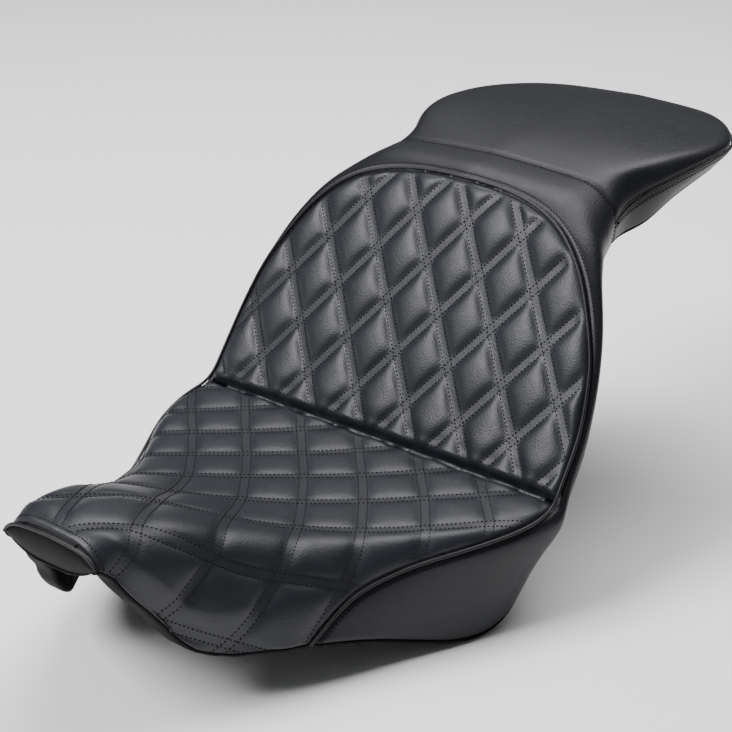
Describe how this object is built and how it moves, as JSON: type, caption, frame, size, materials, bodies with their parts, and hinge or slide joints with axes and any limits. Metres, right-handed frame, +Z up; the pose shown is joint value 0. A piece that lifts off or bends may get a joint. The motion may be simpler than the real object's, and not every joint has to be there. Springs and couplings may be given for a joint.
{
  "type": "motorcycle seat",
  "caption": "One-piece two-up motorcycle seat with diamond-quilted rider pad and backrest, smooth raised pillion pad, moulded pan, rubber bumpers, front tongue and rear screw tab.",
  "frame": {"origin": "bottom centre of the seat's box: midway along and across, level with the lowest point of the hem", "axes": "+X to the rider's left, +Y from the nose to the tail, +Z up"},
  "size_m": [0.3682, 0.722, 0.2923],
  "materials": {
    "cover_vinyl": "black seat vinyl, fine grain, semi-matt",
    "quilted_vinyl": "black quilted seat vinyl with black thread",
    "welt_vinyl": "black vinyl welt",
    "quilt_foam": "thin scrim-backed quilting foam",
    "seat_foam": "moulded polyurethane foam",
    "pan_plastic": "black moulded plastic",
    "bumper_rubber": "black rubber",
    "black_steel": "black powder-coated steel",
    "bright_steel": "zinc-plated steel"
  },
  "bodies": {
    "root": {"nose_gusset": "cover_vinyl", "rider_panel": "quilted_vinyl", "backrest_panel": "quilted_vinyl", "shoulder_band": "cover_vinyl", "pillion_panel": "cover_vinyl", "pillion_boxing": "cover_vinyl", "rider_quilt_foam": "quilt_foam", "backrest_quilt_foam": "quilt_foam", "rider_foam": "seat_foam", "backrest_foam": "seat_foam", "pillion_foam": "seat_foam", "cover_hem": "cover_vinyl", "side_welt_left": "welt_vinyl", "side_welt_right": "welt_vinyl", "pillion_welt": "welt_vinyl", "nose_welt": "welt_vinyl", "base_pan": "pan_plastic", "cover_staples": "bright_steel", "front_bumper_left": "bumper_rubber", "front_bumper_right": "bumper_rubber", "middle_bumper_left": "bumper_rubber", "middle_bumper_right": "bumper_rubber", "rear_bumper_left": "bumper_rubber", "rear_bumper_right": "bumper_rubber", "tail_bumper_left": "bumper_rubber", "tail_bumper_right": "bumper_rubber", "bumper_screws": "bright_steel", "front_tongue": "black_steel", "tongue_rivets": "bright_steel", "rear_tab": "bright_steel", "tab_rivets": "bright_steel"}
  },
  "joints": []
}
